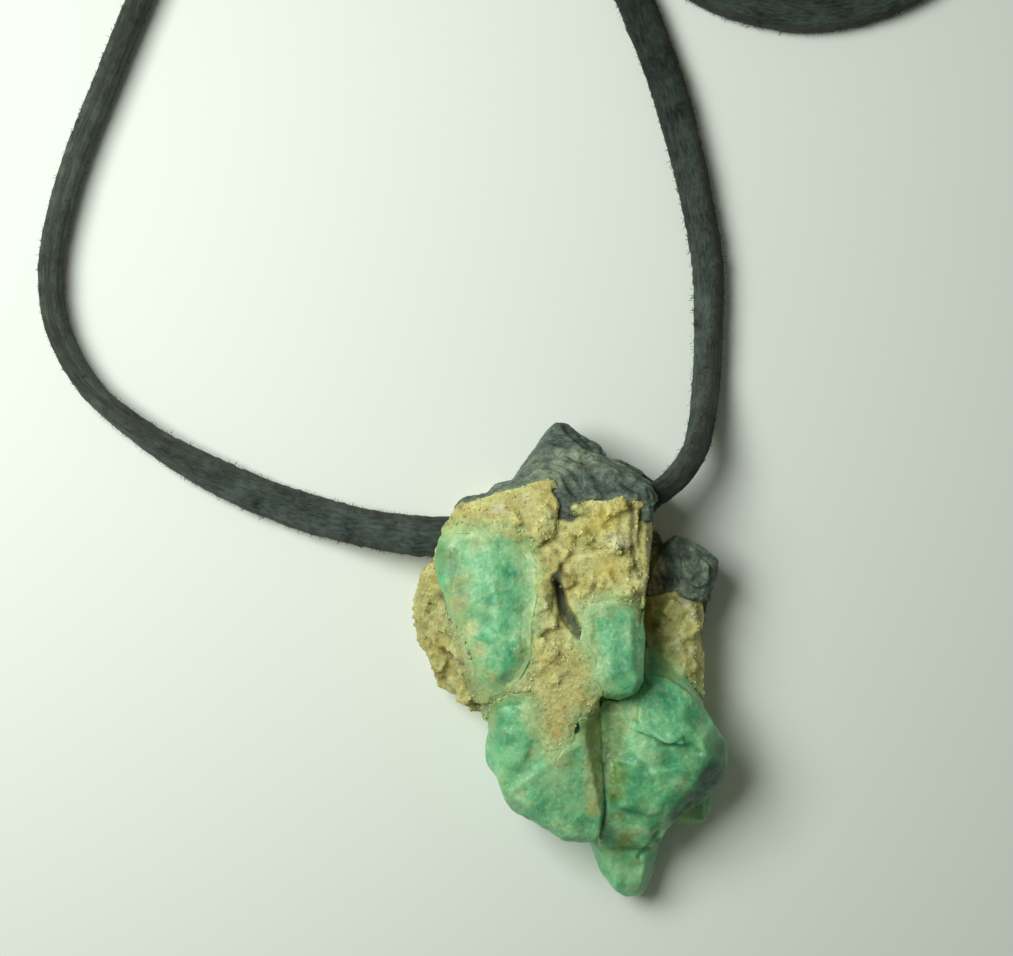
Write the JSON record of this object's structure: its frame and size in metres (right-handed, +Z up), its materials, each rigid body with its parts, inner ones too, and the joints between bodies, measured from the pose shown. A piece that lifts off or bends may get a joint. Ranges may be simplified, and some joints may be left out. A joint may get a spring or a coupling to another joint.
{
  "type": "emerald specimen",
  "caption": "Rough emerald crystals in cream feldspar and dark schist, drilled from side to side and strung on a flat suede lace that is knotted and coiled.",
  "frame": {"origin": "below the middle of the stone's bounding box, on the surface that the stone lies on, with the lace left out", "axes": "+Z up from that surface through the thickness of the stone; +Y along the stone's length, towards the dark schist end; +X to the right as the stone is seen from above"},
  "size_m": [0.0926, 0.1236, 0.013],
  "materials": {
    "feldspar": "matte",
    "emerald": "satin",
    "pale_emerald": "satin",
    "schist": "satin",
    "suede": "matte"
  },
  "bodies": {
    "root": {"matrix": "feldspar", "schist_cap": "schist", "schist_spur": "schist", "emerald_upper_left": "emerald", "emerald_middle": "emerald", "emerald_lower_left": "emerald", "emerald_right": "emerald", "emerald_chip": "pale_emerald", "lace_left": "suede", "lace_right": "suede", "lace_coil": "suede", "lace_knot": "suede"}
  },
  "joints": []
}
